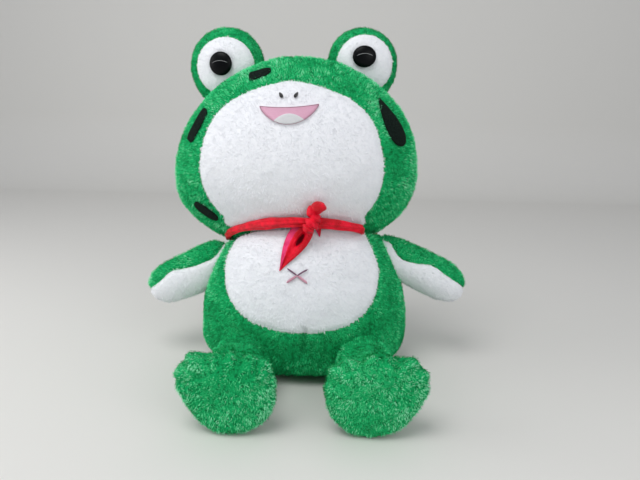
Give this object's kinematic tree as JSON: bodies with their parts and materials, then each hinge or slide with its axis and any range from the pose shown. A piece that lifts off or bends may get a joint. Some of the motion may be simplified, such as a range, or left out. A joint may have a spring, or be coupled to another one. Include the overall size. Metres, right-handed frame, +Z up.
{
  "type": "plush frog",
  "caption": "Seated plush frog with raised round eyes, pale face and belly, short flipper arms, paddle feet and a scarf tied at the neck.",
  "frame": {"origin": "centre of the flat seat under the torso, on the floor plane", "axes": "+Z up, -Y is the frog's front, +X towards the viewer's right, which is the frog's own left"},
  "size_m": [0.388, 0.2983, 0.3966],
  "materials": {
    "green_plush": "short pile",
    "white_plush": "short pile",
    "filling": "loose fibre",
    "red_satin": "satin weave",
    "black_felt": "felt",
    "pink_felt": "felt",
    "white_felt": "felt",
    "mauve_thread": "stitching",
    "pink_thread": "stitching",
    "black_plastic": "gloss",
    "clear_washer": "moulded"
  },
  "bodies": {
    "torso": {"torso_skin": "green_plush", "belly_panel": "white_plush", "torso_stuffing": "filling", "navel_cross": "pink_thread", "scarf_band": "red_satin", "scarf_knot": "red_satin", "scarf_bow": "red_satin", "scarf_tail_long": "red_satin", "scarf_tail_short": "red_satin"},
    "neck": {"neck_stuffing": "filling"},
    "head": {"head_skin": "green_plush", "face_panel": "white_plush", "head_stuffing": "filling", "mouth_patch": "pink_felt", "tongue_patch": "white_felt", "mouth_line": "mauve_thread", "nostril_left": "black_felt", "nostril_right": "black_felt", "crown_spot": "black_felt", "temple_spot": "black_felt", "cheek_spot": "black_felt", "brow_spot": "black_felt", "eye_back_left": "green_plush", "eye_front_left": "white_plush", "eye_stuffing_left": "filling", "pupil_left": "black_plastic", "eye_washer_left": "clear_washer", "eye_back_right": "green_plush", "eye_front_right": "white_plush", "eye_stuffing_right": "filling", "pupil_right": "black_plastic", "eye_washer_right": "clear_washer"},
    "arm_left": {"arm_back_left": "green_plush", "arm_front_left": "white_plush", "arm_stuffing_left": "filling"},
    "leg_left": {"leg_skin_left": "green_plush", "sole_panel_left": "green_plush", "leg_stuffing_left": "filling"},
    "arm_right": {"arm_back_right": "green_plush", "arm_front_right": "white_plush", "arm_stuffing_right": "filling"},
    "leg_right": {"leg_skin_right": "green_plush", "sole_panel_right": "green_plush", "leg_stuffing_right": "filling"}
  },
  "joints": [
    {"name": "neck_turn", "type": "hinge", "parent": "torso", "child": "neck", "pos_m": [-0.006, 0, 0.15], "axis": [0, 0, 1], "range_deg": [-10, 10], "stiffness_Nm_per_rad": 2},
    {"name": "head_nod", "type": "hinge", "parent": "neck", "child": "head", "pos_m": [-0.006, 0, 0.15], "axis": [1, 0, 0], "range_deg": [-8, 2], "stiffness_Nm_per_rad": 2.5},
    {"name": "shoulder_left", "type": "hinge", "parent": "torso", "child": "arm_left", "pos_m": [-0.094, 0, 0.119], "axis": [0, 1, 0], "range_deg": [-4, 22], "stiffness_Nm_per_rad": 0.35},
    {"name": "hip_left", "type": "hinge", "parent": "torso", "child": "leg_left", "pos_m": [-0.064, -0.066, 0.033], "axis": [0, 0, -1], "range_deg": [-7, 16], "stiffness_Nm_per_rad": 0.6},
    {"name": "shoulder_right", "type": "hinge", "parent": "torso", "child": "arm_right", "pos_m": [0.094, 0, 0.119], "axis": [0, -1, 0], "range_deg": [-4, 22], "stiffness_Nm_per_rad": 0.35},
    {"name": "hip_right", "type": "hinge", "parent": "torso", "child": "leg_right", "pos_m": [0.064, -0.066, 0.033], "axis": [0, 0, 1], "range_deg": [-7, 16], "stiffness_Nm_per_rad": 0.6}
  ]
}
